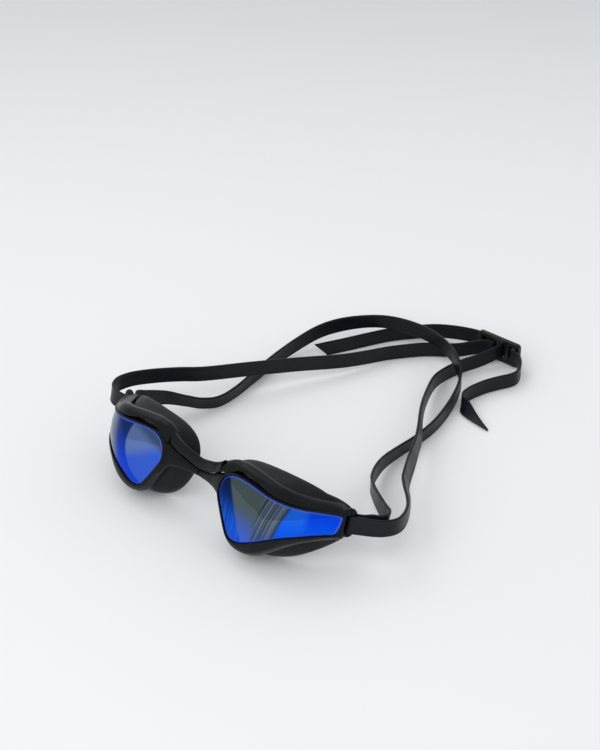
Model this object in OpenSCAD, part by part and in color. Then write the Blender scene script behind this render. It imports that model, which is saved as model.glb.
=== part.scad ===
// Swim goggles: two mirrored eyecups on an interchangeable nose bridge, and one flat split strap
// threaded through the eyecup loops and a ladder buckle. Units are millimetres, +Z up, -Y forward.
// Eyecup shapes are drawn in the wearer's frame [across, back, up] and leaned back onto the surface.

/* [Stance] */
// Backward lean of the eyecups on a level surface, degrees
lean = 19; // [17:0.5:20]

/* [Lens] */
// Half width of the flat front of the lens
front_flat = 38; // [37:0.5:39]
// Radius of the bend from the front to the side
bend_r = 22; // [21:0.5:23]
// Angle that the side turns back from the front, degrees
bend_angle = 55; // [54:0.5:56]
// Lens thickness
lens_t = 2; // [1.6:0.1:2.4]
// Gap between the lens edge and its pocket
lens_gap = 0.1; // [0.05:0.05:0.2]

/* [Frame] */
// Depth of the frame behind the lens face
frame_d = 6.5; // [6:0.1:7]
// How far the frame stands proud of the lens face
frame_lip = 0.3; // [0.1:0.1:0.5]
// Width of the ledge behind the lens
ledge_w = 1.4; // [1:0.1:1.6]

/* [Gasket] */
// Distance from the lens face back to the soft rim beside the nose
seal_v = 15.5; // [15:0.5:16]
// Wall thickness of the gasket
gasket_t = 1.4; // [1.2:0.1:1.6]

/* [Bridge] */
// Radius of the peg that the bridge turns on
peg_r = 1.2; // [1.1:0.05:1.3]
// Radial running clearance of the peg
peg_gap = 0.05; // [0.02:0.01:0.1]

/* [Strap] */
// Width of the strap band
strap_w = 7.4; // [7:0.1:7.6]
// Thickness of the strap band
strap_t = 1.3; // [1.1:0.1:1.3]
// Radius of the bar that the strap wraps
bar_r = 1.1; // [1:0.05:1.1]

/* [Buckle] */
// Buckle length along the strap
buckle_l = 24; // [24:0.5:26]
// Buckle height across the strap
buckle_h = 12; // [12:0.5:12.5]
// Buckle thickness
buckle_t = 2.4; // [2:0.1:2.4]

/* [Hidden] */

// Height and set-back of the wearer's frame origin above the surface
rise = 25.4;
set_back = -12.5;
// How much each outline corner is cut, twice over
smooth_steps = 2;
// Where the side runs out, measured along the lens face
bend_len = bend_r * bend_angle * PI / 180;
post_s = 74.5;
// Where slabs of the face start, inside the nose, and where the lens and the top rail run out
nose_s = 10;
lens_s = 73.2;
// Size of the slabs and cuts that shape the outlines, larger than any piece
reach = 80;
bar_s = 77.6;
bar_d = 2.6;
// Upper and lower links that hold the strap bar: thickness, half depth, start along the face, and inner heights
link_t = 1.6;
link_half = 1.4;
link_s = 73.2;
link_top = 6.6;
link_low = -1.3;
strap_mid = (link_top + link_low) / 2;
// Slack between bar and strap, and the radius of the strap's centreline round the bar
wrap_gap = 0.3;
wrap_r = bar_r + wrap_gap + strap_t / 2;
// How fast the face seal curves back past 30 mm from the middle, per mm, and its least depth behind the frame
seal_curl = 0.012;
seal_min = 5.5;
// Gasket foot: its inner step inside the lens edge, and how far it stops short of the frame's outer end
foot_step = 0.4;
foot_gap = 0.5;
// Soft rim of the gasket: its rounding and its width
seal_round = 0.8;
seal_w = 4.2;
// How far the pocket and the opening are cut past the frame
cut_past = 5;
// Depths of the top rail's front and back
rail_front = 0.6;
rail_back = 5.4;
// Peg and socket between bridge and frame
peg_u = 11;
peg_v = 4.4;
peg_low = 0;
peg_top = 7.2;
socket_over = 0.3;
// Buckle centre
buckle_at = [11, 179.5, 6.4];

// Lens outline across and up, clockwise from the nose
lens_edge = [[16.6, -1], [16.9, 3.7], [18.8, 6.9], [22.5, 8.8], [30, 9], [40, 7.6], [50, 6.6],
             [61.5, 6.2], [63.3, 6], [63.9, 5], [63.2, -1.4], [62.2, -2.5], [59.5, -3], [50, -6.5],
             [41, -11.7], [33, -16], [29, -16.8], [25.5, -16], [22.7, -12], [18, -4]];
// Frame rim outline, point for point with the lens
frame_edge = [[15, -1.5], [14.8, 4.2], [16.8, 8.2], [21.5, 10], [30, 10.1], [40, 8.7], [50, 7.7],
              [61, 7.3], [64.5, 7.4], [70, 7], [70, -2.4], [64.5, -4], [61, -4.7], [51, -9.6],
              [43, -16.2], [36.5, -20], [30, -20.6], [25.4, -18.6], [21.2, -12.6], [16.5, -4.8]];
// Face seal outline, point for point with the lens
seal_edge = [[9, -1], [9.5, 4.6], [12.5, 9.2], [19, 12.2], [28, 13.5], [38, 14], [48, 12.9],
             [54, 10.6], [57.5, 8.4], [60, 5.5], [60.5, 0], [60, -4.5], [58.5, -8], [53, -14],
             [45.5, -19.2], [36.5, -21.8], [28.5, -22], [21, -20.2], [15, -15.5], [10.8, -8.5]];
// Top rail that stands above the lens
rail_edge = [[16, 8.2], [16.2, 11.9], [20, 13.7], [26, 14.2], [36, 13.4], [44, 12.1],
             [52, 10.3], [58, 8.8], [62, 7.6], [60, 6.8], [50, 7], [36, 8.8], [20, 8.6]];
// Slot between the rail and the rim
slot_edge = [[20, 11], [22, 11.4], [30, 11.6], [38, 10.5], [46, 9], [46, 8.2], [38, 9.1],
             [30, 10.2], [22, 10.1]];
// Lower nose arm, seen from the front and from above
arm_front = [[0.35, 0.4], [5, 1.4], [10, 3.4], [17, 6.4], [19, -8], [16.3, -4.8], [13.2, -2.8],
             [8.4, -1.8], [0.35, -2.1]];
arm_plan = [[0.35, 5.2], [6, 4.2], [11, 2.2], [17, 0.6], [17, 6.3], [11, 6.6], [6, 7.6], [0.35, 8.4]];
// Right half of the nose bridge, seen from the front and from above
bridge_top = [[0, 6], [4, 6.7], [8, 7.9], [11, 9.3], [13, 10.5], [15.3, 11.6]];
bridge_low = [[14.9, 6.8], [10, 4.2], [5, 2.1], [0, 1]];
bridge_front = [[0, 5.2], [4, 4.9], [7.5, 3.8], [11, 2.2], [15.8, 1.1]];
bridge_back = [[15.8, 5.6], [11, 6.6], [7.5, 7.6], [4, 8.2], [0, 8.4]];

// Strap routes: [x, y, z, lean of the band's width in x, lean in y]
route_right_upper = [
    [-69, 11, 19.8, 0, 0.34], [-74, 12, 19.5, 0, 0.3], [-78.5, 15, 19, 0, 0.2],
    [-81.5, 20.5, 18.5, 0, 0.1], [-81.3, 26.5, 18.2, 0, 0], [-79.5, 32, 17.8, 0, 0], [-76, 39.5, 17, 0, 0],
    [-70.5, 48, 16.2, 0, 0], [-64, 57.5, 15, 0, 0], [-55, 77.5, 12.5, 0, 0], [-45, 99.5, 9.5, 0, 0],
    [-36, 117.5, 7, 0, 0], [-31, 130.5, 5.5, 0, 0], [-26, 144.5, 4.2, 0, 0], [-17, 157.5, 4, 0, 0],
    [-6, 166.5, 4.2, 0, 0], [0, 172.5, 5.2, 0, 0], [4, 176, 6.2, 0, 0], [6.5, 177.3, 6.4, 0, 0],
    [8.5, 177.8, 6.4, 0, 0], [9, 179.5, 6.4, 0, 0]];
route_lower = [
    [-65.8, 17.5, 19.3, 0, 0.34], [-66, 22, 17.3, 0, 0.2], [-66, 29, 14.3, 0.1, 0],
    [-65, 36, 11.3, 0.2, -0.2], [-61.5, 43.5, 7.8, 0.3, -0.3], [-58, 50, 5.2, 0.3, -0.3],
    [-55.5, 58, 3.8, 0.3, -0.3], [-56, 69, 3.7, 0.3, -0.3], [-59, 83, 3.7, 0.2, -0.2],
    [-62.5, 101, 4, 0.1, -0.1], [-63.5, 118, 5.2, 0, 0], [-62, 131.5, 7, 0, 0], [-57, 141.5, 8.7, 0, 0],
    [-48.5, 149.5, 10.6, 0.1, -0.1], [-39, 155, 11.8, 0.1, -0.1], [-28, 157.8, 12.2, 0, 0],
    [-16, 158.3, 12.4, 0, 0], [-6, 156, 12.5, 0, 0], [3, 152.3, 12.4, 0, 0], [9.5, 148.5, 11.4, 0, 0],
    [14.5, 145, 8.8, 0, 0], [18, 140, 5.8, 0, 0], [21.5, 132, 4.2, 0, 0], [25.5, 121, 3.8, 0, 0],
    [29, 108, 3.8, 0.1, -0.1], [30.5, 94, 3.8, 0.2, -0.2], [30.8, 82, 4, 0.2, -0.2],
    [33, 69.5, 5.6, 0.1, -0.1], [37.5, 58.5, 7.8, 0, 0], [43.5, 49, 10.2, 0, 0], [51, 41.5, 13, 0, 0],
    [59, 35, 15.5, 0, 0.1], [66.5, 29.5, 17.5, 0, 0.2], [71.5, 26, 18.8, 0, 0.3],
    [73.7, 22.5, 19.6, 0, 0.34], [73, 19.3, 20, 0, 0.34], [70.5, 17.2, 20.2, 0, 0.34],
    [68.2, 15, 20, 0, 0.34]];
route_left_upper = [
    [69, 13, 20.2, 0, 0.34], [72, 15, 20, 0, 0.3], [75.4, 18.5, 19.4, 0, 0.2], [77.4, 23.5, 18.6, 0, 0.1],
    [76.7, 29, 17.8, 0, 0], [73.5, 35.5, 17, 0, 0], [68.5, 42, 16, -0.1, -0.1],
    [62.5, 48.5, 15, -0.3, -0.2], [57.3, 54, 14.2, -0.3, -0.2], [53, 60.5, 13.4, -0.3, -0.2],
    [48, 69, 12.8, -0.3, -0.2], [42, 79.5, 12.4, -0.2, -0.1], [36, 89, 12, -0.2, -0.1],
    [26, 102.5, 11.5, -0.1, 0], [17, 116.5, 9, 0, 0], [8, 133.5, 6, 0, 0], [5, 145.5, 4.3, 0, 0],
    [6, 156.5, 4.2, 0, 0], [9, 165.5, 4.6, 0, 0], [11.5, 171.5, 5.8, 0, 0], [12.8, 176, 6.4, 0, 0],
    [13.1, 179.5, 6.4, 0, 0]];
route_right_tail = [
    [9, 179.5, 6.4, 0, 0], [8.5, 181.2, 6.4, 0, 0], [6.5, 181.7, 6.4, 0, 0], [2, 181.9, 6.4, 0, 0],
    [-4, 181.5, 6.3, 0, 0], [-11, 180, 5.8, 0, 0], [-18, 178, 5, 0, 0], [-24, 175, 4.4, 0, 0],
    [-29, 170.5, 4, 0, 0], [-34, 164.5, 3.8, 0, 0], [-39, 156.5, 3.8, 0, 0], [-43, 147.5, 3.8, 0, 0],
    [-48, 135.5, 3.8, 0, 0], [-52, 126.5, 3.8, 0, 0], [-54.5, 120.5, 3.8, 0, 0]];
route_left_tail = [
    [13.1, 179.5, 6.4, 0, 0], [13.7, 181.2, 6.4, 0, 0], [15.9, 181.8, 6.4, 0, 0], [18.1, 181.2, 6.4, 0, 0],
    [18.7, 179.5, 6.4, 0, 0], [19.3, 177.8, 6.4, 0, 0], [22, 177.2, 6.4, 0, 0], [25, 176, 6.2, 0, 0],
    [28.3, 172.8, 5.6, 0, 0], [30.8, 168.6, 5, 0, 0], [31.5, 165, 4.6, 0, 0], [30.2, 161.5, 4.2, 0, 0],
    [28, 157.5, 4, 0, 0], [25.5, 151, 4, 0, 0], [24, 144, 4, 0, 0], [23.7, 138.5, 4, 0, 0],
    [24.8, 134, 4, 0, 0], [28, 131, 3.7, 0, 0.4], [33, 130, 2.8, 0, 1.1], [39, 129.5, 2.1, 0, 2.2],
    [46, 129, 1.7, 0, 3.5]];

// ---- Curves ----

// Cuts the corners of a closed outline
function cut_corners(p, steps) = steps == 0 ? p :
    cut_corners([for (i = [0:len(p) - 1], k = [0.25, 0.75])
        p[i] * (1 - k) + p[(i + 1) % len(p)] * k], steps - 1);

// Moves each point of a clockwise outline outward by d
function grow(p, d) = [for (i = [0:len(p) - 1])
    let (along = p[(i + 1) % len(p)] - p[(i + len(p) - 1) % len(p)])
    p[i] + d * [-along[1], along[0]] / norm(along)];

// Draws an outline in towards its middle by about d on every side
function shrink(p, d) =
    let (us = [for (q = p) q[0]], ws = [for (q = p) q[1]],
         mid = [max(us) + min(us), max(ws) + min(ws)] / 2,
         half = [max(us) - min(us), max(ws) - min(ws)] / 2)
    [for (q = p) [mid[0] + (q[0] - mid[0]) * (1 - d / half[0]), mid[1] + (q[1] - mid[1]) * (1 - d / half[1])]];

// Point on the wrapped lens face: s along the face from the middle, d behind it
function wrap(s, d) =
    s < front_flat ? [s, d] :
    s < front_flat + bend_len ?
        let (a = (s - front_flat) / bend_r * 180 / PI)
        [front_flat + (bend_r - d) * sin(a), bend_r - (bend_r - d) * cos(a)] :
        let (e = s - front_flat - bend_len)
        [front_flat + (bend_r - d) * sin(bend_angle) + e * cos(bend_angle),
         bend_r - (bend_r - d) * cos(bend_angle) + e * sin(bend_angle)];

// Depth of a surface d behind the lens face at width u
function wrap_v(u, d) =
    let (r = bend_r - d, bend_end = front_flat + r * sin(bend_angle))
    u < front_flat ? d :
    u < bend_end ? bend_r - sqrt(r * r - (u - front_flat) * (u - front_flat)) :
    bend_r - r * cos(bend_angle) + (u - bend_end) * tan(bend_angle);

// Depth of the face seal, which curves back round the temple
function seal_depth(u) = seal_v + (u > 30 ? seal_curl * (u - 30) * (u - 30) : 0);

// Wearer's frame to the surface frame
function placed(p) = [p[0],
    set_back + p[1] * cos(lean) + p[2] * sin(lean),
    rise - p[1] * sin(lean) + p[2] * cos(lean)];

// Point on the strap's centreline round a loop bar, as a route point; side is 1 on the wearer's left, -1 on the right
function wrap_point(a, side) =
    let (c = wrap(bar_s, bar_d), u = c[0] + wrap_r * cos(a), v = c[1] + wrap_r * sin(a))
    concat(placed([side * u, v, strap_mid]), [0, tan(lean)]);

function unit(v) = v / norm(v);

// ---- Shared shapes ----

// Slab between depths d0 and d1 behind the lens face, from s0 to s1 along it
module band(d0, d1, s0, s1) {
    step = 2.5;
    stops = concat([for (s = [s0:step:s1 - 0.01]) s], [s1]);
    outer = [for (s = stops) wrap(s, d0)];
    inner = [for (i = [len(stops) - 1:-1:0]) wrap(stops[i], d1)];
    translate([0, 0, -reach / 2])
        linear_extrude(reach)
            polygon(concat(outer, inner));
}

// Front outline cut straight through from front to back
module through(edge) {
    translate([0, reach / 2, 0])
        rotate([90, 0, 0])
            linear_extrude(reach)
                polygon(edge);
}

// Leans the wearer's frame back and sets it on the surface
module worn() {
    translate([0, set_back, rise])
        rotate([-lean, 0, 0])
            children();
}

// Closed ring lofted through outlines; each ring is a list of 3-D points
module ring_loft(rings) {
    n = len(rings[0]);
    m = len(rings);
    points = [for (r = rings) each r];
    faces = [for (j = [0:m - 1], i = [0:n - 1], half = [0, 1])
        let (a = j * n + i, b = j * n + (i + 1) % n,
             c = ((j + 1) % m) * n + i, e = ((j + 1) % m) * n + (i + 1) % n)
        half == 0 ? [a, b, e] : [a, e, c]];
    polyhedron(points, faces, convexity = 8);
}

// Flat band swept along route points
module strap_run(route) {
    n = len(route);
    // Rounded edges: half width and half thickness fractions of the section's corners
    section = [[1, 0.4], [0.9, 1], [-0.9, 1], [-1, 0.4], [-1, -0.4], [-0.9, -1], [0.9, -1], [1, -0.4]];
    k = len(section);
    at = [for (p = route) [p[0], p[1], p[2]]];
    points = [for (i = [0:n - 1])
        let (ahead = unit(at[min(i + 1, n - 1)] - at[max(i - 1, 0)]),
             want = [route[i][3], route[i][4], 1],
             wide = unit(want - (want * ahead) * ahead),
             thick = cross(ahead, wide))
        each [for (q = section) at[i] + wide * q[0] * strap_w / 2 + thick * q[1] * strap_t / 2]];
    sides = [for (i = [0:n - 2], j = [0:k - 1], half = [0, 1])
        let (a = i * k + j, b = i * k + (j + 1) % k)
        half == 0 ? [a, b, b + k] : [a, b + k, a + k]];
    start = [[for (j = [k - 1:-1:0]) j]];
    end = [[for (j = [0:k - 1]) (n - 1) * k + j]];
    polyhedron(points, concat(sides, start, end), convexity = 12);
}

// ---- One eyecup, drawn for the wearer's left ----

module lens() {
    intersection() {
        band(0, lens_t, nose_s, lens_s);
        through(cut_corners(lens_edge, smooth_steps));
    }
}

module frame() {
    pocket = grow(cut_corners(lens_edge, smooth_steps), lens_gap);
    opening = shrink(cut_corners(lens_edge, smooth_steps), ledge_w);
    difference() {
        union() {
            intersection() {
                band(-frame_lip, frame_d, nose_s, post_s);
                through(cut_corners(frame_edge, smooth_steps));
            }
            difference() {
                intersection() {
                    band(rail_front, rail_back, nose_s, lens_s);
                    through(rail_edge);
                }
                through(slot_edge);
            }
            intersection() {
                translate([0, 0, -reach / 2])
                    linear_extrude(reach)
                        polygon(arm_plan);
                through(arm_front);
            }
            translate([peg_u, peg_v, peg_low])
                cylinder(r = peg_r, h = peg_top - peg_low, $fn = 48);
            for (low = [link_top, link_low - link_t])
                intersection() {
                    band(bar_d - link_half, bar_d + link_half, link_s, bar_s + bar_r);
                    translate([0, 0, low])
                        linear_extrude(link_t)
                            square(reach);
                }
            translate(concat(wrap(bar_s, bar_d), [link_low - link_t]))
                cylinder(r = bar_r, h = link_top - link_low + 2 * link_t, $fn = 48);
        }
        intersection() {
            band(-cut_past, lens_t, nose_s, lens_s + lens_gap);
            through(pocket);
        }
        intersection() {
            band(-cut_past, frame_d + cut_past, nose_s, lens_s - ledge_w);
            through(opening);
        }
    }
}

module gasket() {
    edge = cut_corners(lens_edge, smooth_steps);
    seal = cut_corners(seal_edge, smooth_steps);
    foot_end = wrap(post_s, frame_d)[0] - foot_gap;
    foot_in = [for (q = grow(edge, -foot_step)) [min(q[0], foot_end - gasket_t), q[1]]];
    foot_out = [for (q = grow(edge, gasket_t)) [min(q[0], foot_end), q[1]]];
    waist = 0.5 * (foot_out + seal);
    // Each ring: outline, share of the way back from the frame to the seal
    rings = [[foot_in, 0], [foot_out, 0], [waist, 0.45], [seal, 0.82], [grow(seal, -seal_round), 1],
             [grow(seal, -seal_w), 0.98], [grow(waist, -gasket_t), 0.55]];
    ring_loft([for (r = rings) [for (q = r[0])
        let (front = wrap_v(q[0], frame_d), back = max(seal_depth(q[0]), front + seal_min))
        [q[0], front + r[1] * (back - front), q[1]]]]);
}

// ---- Nodes ----

module nose_bridge() {
    half = concat(bridge_top, bridge_low);
    plan = concat(bridge_front, bridge_back);
    color([0.07, 0.07, 0.08])
        worn()
            difference() {
                for (side = [0, 1])
                    mirror([side, 0, 0])
                        intersection() {
                            through(half);
                            translate([0, 0, -reach / 2])
                                linear_extrude(reach)
                                    polygon(plan);
                        }
                for (side = [-1, 1])
                    translate([side * peg_u, peg_v, peg_low])
                        cylinder(r = peg_r + peg_gap, h = peg_top + socket_over - peg_low, $fn = 48);
            }
}

module left_frame() { color([0.06, 0.06, 0.07]) worn() frame(); }
module left_lens() { color([0.05, 0.2, 0.85]) worn() lens(); }
module left_gasket() { color([0.1, 0.1, 0.11]) worn() gasket(); }
module right_frame() { color([0.06, 0.06, 0.07]) worn() mirror([1, 0, 0]) frame(); }
module right_lens() { color([0.05, 0.2, 0.85]) worn() mirror([1, 0, 0]) lens(); }
module right_gasket() { color([0.1, 0.1, 0.11]) worn() mirror([1, 0, 0]) gasket(); }

// Ladder buckle: a plate with four slots for the two strap ends
module buckle() {
    slot_h = strap_w + 0.8;
    inner_slot = 2.25;
    inner_w = 2.7;
    outer_slot = 7.8;
    outer_w = 3.2;
    round_r = 1.6;
    color([0.05, 0.05, 0.055])
        translate(buckle_at)
            rotate([90, 0, 0])
                translate([0, 0, -buckle_t / 2])
                    linear_extrude(buckle_t)
                        difference() {
                            union() {
                                square([buckle_l, buckle_h - 2 * round_r], center = true);
                                square([buckle_l - 2 * round_r, buckle_h], center = true);
                                for (x = [-1, 1], y = [-1, 1])
                                    translate([x * (buckle_l / 2 - round_r), y * (buckle_h / 2 - round_r)])
                                        circle(r = round_r, $fn = 32);
                            }
                            for (side = [-1, 1]) {
                                translate([side * inner_slot, 0])
                                    square([inner_w, slot_h], center = true);
                                translate([side * outer_slot, 0])
                                    square([outer_w, slot_h], center = true);
                            }
                        }
}

module strap_right_upper() {
    around = [for (a = [230, 250, 270]) wrap_point(a, -1)];
    color([0.09, 0.1, 0.12]) strap_run(concat(around, route_right_upper));
}

module strap_lower() {
    left = [for (a = [230, 185, 140]) wrap_point(a, -1)];
    right = [for (a = [75, 105, 140, 185, 230]) wrap_point(a, 1)];
    color([0.09, 0.1, 0.12]) strap_run(concat(left, route_lower, right));
}

module strap_left_upper() {
    around = [for (a = [230, 262, 295]) wrap_point(a, 1)];
    color([0.09, 0.1, 0.12]) strap_run(concat(around, route_left_upper));
}

module strap_right_tail() { color([0.09, 0.1, 0.12]) strap_run(route_right_tail); }
module strap_left_tail() { color([0.09, 0.1, 0.12]) strap_run(route_left_tail); }

nose_bridge();
left_frame();
left_lens();
left_gasket();
right_frame();
right_lens();
right_gasket();
buckle();
strap_right_upper();
strap_lower();
strap_left_upper();
strap_right_tail();
strap_left_tail();
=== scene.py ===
# Swim goggles. Two mirrored eyecups turn on a nose bridge, and one flat split strap runs from loop to loop
# and through a ladder buckle. Everything is in metres in the shared frame. Eyecup shapes are drawn in the
# wearer's frame, in millimetres (u across, v back, w up), and placed() sets them into the shared frame.
import math

import bmesh
import bpy
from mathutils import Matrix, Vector


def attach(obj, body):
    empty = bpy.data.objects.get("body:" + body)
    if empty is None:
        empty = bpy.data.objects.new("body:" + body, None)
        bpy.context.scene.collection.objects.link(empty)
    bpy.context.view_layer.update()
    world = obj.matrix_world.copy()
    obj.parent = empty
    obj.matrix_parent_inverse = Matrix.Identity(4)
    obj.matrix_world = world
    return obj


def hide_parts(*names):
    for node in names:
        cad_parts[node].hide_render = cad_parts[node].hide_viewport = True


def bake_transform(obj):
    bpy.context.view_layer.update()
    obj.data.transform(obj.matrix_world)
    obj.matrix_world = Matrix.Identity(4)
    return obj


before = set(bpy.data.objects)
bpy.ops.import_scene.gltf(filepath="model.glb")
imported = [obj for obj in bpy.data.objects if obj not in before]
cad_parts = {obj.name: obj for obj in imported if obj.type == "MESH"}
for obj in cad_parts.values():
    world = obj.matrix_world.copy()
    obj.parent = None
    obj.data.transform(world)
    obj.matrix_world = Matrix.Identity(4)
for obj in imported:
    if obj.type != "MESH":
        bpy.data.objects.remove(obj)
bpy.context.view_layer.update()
scene = bpy.context.scene
scene.view_settings.view_transform = "Standard"

# ---- Camera ----

CAMERA_AT = (0.3910, -0.3658, 0.3868)
CAMERA_TURN = (59, 0, 43.09)
CAMERA_LENS = 76.4


def add_camera():
    data = bpy.data.cameras.new("camera")
    data.lens = CAMERA_LENS
    data.sensor_width = 36
    camera = bpy.data.objects.new("camera", data)
    camera.location = CAMERA_AT
    camera.rotation_euler = [math.radians(a) for a in CAMERA_TURN]
    scene.collection.objects.link(camera)
    scene.camera = camera


add_camera()

# ---- Materials ----


def new_material(name):
    """A material with its shader, and a function that adds and names a node."""
    material = bpy.data.materials.new(name)
    material.use_nodes = True
    tree = material.node_tree
    shader = next(n for n in tree.nodes if n.type == "BSDF_PRINCIPLED")

    def add(kind, **values):
        node = tree.nodes.new(kind)
        for key, value in values.items():
            if key in node.inputs:
                node.inputs[key].default_value = value
            else:
                setattr(node, key, value)
        return node

    return material, tree, shader, add


# Range that most of a noise texture's values lie in
NOISE_LOW = 0.3
NOISE_HIGH = 0.7


def noise_colour(tree, add, place, scale, dark, light, detail=3.0):
    """A two-colour noise, from dark to light."""
    noise = add("ShaderNodeTexNoise", Scale=scale, Detail=detail)
    tree.links.new(place, noise.inputs["Vector"])
    ramp = add("ShaderNodeValToRGB")
    ramp.color_ramp.elements[0].position = NOISE_LOW
    ramp.color_ramp.elements[1].position = NOISE_HIGH
    ramp.color_ramp.elements[0].color = dark
    ramp.color_ramp.elements[1].color = light
    tree.links.new(noise.outputs["Fac"], ramp.inputs["Fac"])
    return ramp.outputs["Color"]


def noise_value(tree, add, place, scale, low, high, detail=2.0):
    """A noise spread from low to high."""
    noise = add("ShaderNodeTexNoise", Scale=scale, Detail=detail)
    tree.links.new(place, noise.inputs["Vector"])
    span = add("ShaderNodeMapRange")
    span.inputs["From Min"].default_value = NOISE_LOW
    span.inputs["From Max"].default_value = NOISE_HIGH
    span.inputs["To Min"].default_value = low
    span.inputs["To Max"].default_value = high
    tree.links.new(noise.outputs["Fac"], span.inputs["Value"])
    return span.outputs["Result"]


def grain_bump(tree, add, place, shader, scale, height):
    """A fine moulded grain, height in metres."""
    grain = add("ShaderNodeTexNoise", Scale=scale, Detail=4.0, Roughness=0.6)
    tree.links.new(place, grain.inputs["Vector"])
    bump = add("ShaderNodeBump", Strength=1.0, Distance=height)
    tree.links.new(grain.outputs["Fac"], bump.inputs["Height"])
    tree.links.new(bump.outputs["Normal"], shader.inputs["Normal"])


def black_plastic(name, dark, light, rough_low, rough_high, grain_scale, grain_height, specular):
    """Moulded black plastic or rubber: faint cloudiness, uneven gloss and a fine grain."""
    material, tree, shader, add = new_material(name)
    place = add("ShaderNodeTexCoord").outputs["Object"]
    tree.links.new(noise_colour(tree, add, place, 90, dark, light), shader.inputs["Base Color"])
    tree.links.new(noise_value(tree, add, place, 260, rough_low, rough_high), shader.inputs["Roughness"])
    grain_bump(tree, add, place, shader, grain_scale, grain_height)
    shader.inputs["Specular IOR Level"].default_value = specular
    return material


frame_black = black_plastic("frame_black", (0.003, 0.0036, 0.0045, 1), (0.006, 0.0068, 0.008, 1),
                            0.22, 0.31, 3800, 0.000006, specular=0.15)
bridge_black = black_plastic("bridge_black", (0.004, 0.0048, 0.006, 1), (0.007, 0.008, 0.0095, 1),
                             0.28, 0.37, 3600, 0.000007, specular=0.17)
silicone_black = black_plastic("silicone_black", (0.005, 0.0052, 0.0062, 1), (0.009, 0.0095, 0.0108, 1),
                               0.36, 0.46, 2600, 0.000007, specular=0.19)
strap_black = black_plastic("strap_black", (0.0035, 0.005, 0.008, 1), (0.0065, 0.0085, 0.0125, 1),
                            0.34, 0.46, 3000, 0.000008, specular=0.2)
buckle_black = black_plastic("buckle_black", (0.0045, 0.0045, 0.005, 1), (0.008, 0.008, 0.009, 1),
                             0.20, 0.28, 3200, 0.000006, specular=0.3)

# ---- Mesh building ----


def make_piece(name, points, faces, material, sharp=None, others=(), marks=()):
    """A smooth-shaded mesh piece; edges sharper than the angle, in degrees, stay sharp."""
    mesh = bpy.data.meshes.new(name)
    mesh.from_pydata([tuple(p) for p in points], [], faces)
    for face, mark in zip(mesh.polygons, marks):
        face.material_index = mark
    work = bmesh.new()
    work.from_mesh(mesh)
    bmesh.ops.remove_doubles(work, verts=work.verts, dist=1e-7)
    bmesh.ops.recalc_face_normals(work, faces=work.faces)
    work.to_mesh(mesh)
    work.free()
    mesh.shade_smooth()
    if sharp is not None:
        mesh.set_sharp_from_angle(angle=math.radians(sharp))
    for each in (material, *others):
        mesh.materials.append(each)
    piece = bpy.data.objects.new(name, mesh)
    scene.collection.objects.link(piece)
    return piece


def skin(rings, around=True, closed=False, caps=True):
    """Points and faces of a skin through rings of equal length; closed joins the last ring to the first."""
    n = len(rings[0])
    m = len(rings)
    points = [p for ring in rings for p in ring]
    faces = []
    for j in range(m if closed else m - 1):
        for i in range(n if around else n - 1):
            a, b = j * n + i, j * n + (i + 1) % n
            c, d = ((j + 1) % m) * n + (i + 1) % n, ((j + 1) % m) * n + i
            faces.append((a, b, c, d))
    if caps and not closed:
        faces.append(tuple(range(n)))
        faces.append(tuple(range((m - 1) * n, m * n)))
    return points, faces


def spline(points, steps, closed=False):
    """Catmull-Rom curve through points of any dimension, with steps between each two."""
    n = len(points)
    made = []
    for i in range(n if closed else n - 1):
        if closed:
            p0, p1, p2, p3 = (points[(i + k) % n] for k in (-1, 0, 1, 2))
        else:
            p0, p1, p2, p3 = (points[min(max(i + k, 0), n - 1)] for k in (-1, 0, 1, 2))
        for j in range(steps):
            t = j / steps
            made.append(0.5 * ((2 * p1) + (p2 - p0) * t + (2 * p0 - 5 * p1 + 4 * p2 - p3) * t * t
                               + (3 * p1 - p0 - 3 * p2 + p3) * t ** 3))
    if not closed:
        made.append(points[-1].copy())
    return made


def rounded_section(half_a, half_b, radius, steps=4):
    """Closed rounded rectangle, as pairs."""
    made = []
    for turn, (sa, sb) in enumerate([(1, 1), (-1, 1), (-1, -1), (1, -1)]):
        for k in range(steps + 1):
            angle = math.pi / 2 * (turn + k / steps)
            made.append((sa * (half_a - radius) + radius * math.cos(angle),
                         sb * (half_b - radius) + radius * math.sin(angle)))
    return made


def sweep(line, wides, section):
    """Rings of a section of (across, through) pairs along a line; wides point across it."""
    rings = []
    for i, p in enumerate(line):
        ahead = (line[min(i + 1, len(line) - 1)] - line[max(i - 1, 0)]).normalized()
        wide = (wides[i] - ahead * wides[i].dot(ahead)).normalized()
        through = ahead.cross(wide)
        rings.append([p + wide * a + through * b for a, b in section])
    return rings


# ---- Wearer's frame ----

MM = 0.001
LEAN = math.radians(19)
SET_BACK = -12.5
RISE = 25.4
FRONT_FLAT = 38
BEND_R = 22
BEND_ANGLE = math.radians(55)
BEND_LEN = BEND_R * BEND_ANGLE
SEAL_V = 15.5
SEAL_CURL = 0.012
BAR_S = 77.6
BAR_D = 2.6
BAR_R = 1.1
STRAP_W = 7.4
STRAP_T = 1.3
STRAP_MID = 2.65
WRAP_GAP = 0.3
WRAP_R = BAR_R + WRAP_GAP + STRAP_T / 2


def placed(u, v, w):
    """Wearer's frame, in millimetres, to the shared frame, in metres."""
    return Vector((u, SET_BACK + v * math.cos(LEAN) + w * math.sin(LEAN),
                   RISE - v * math.sin(LEAN) + w * math.cos(LEAN))) * MM


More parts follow.
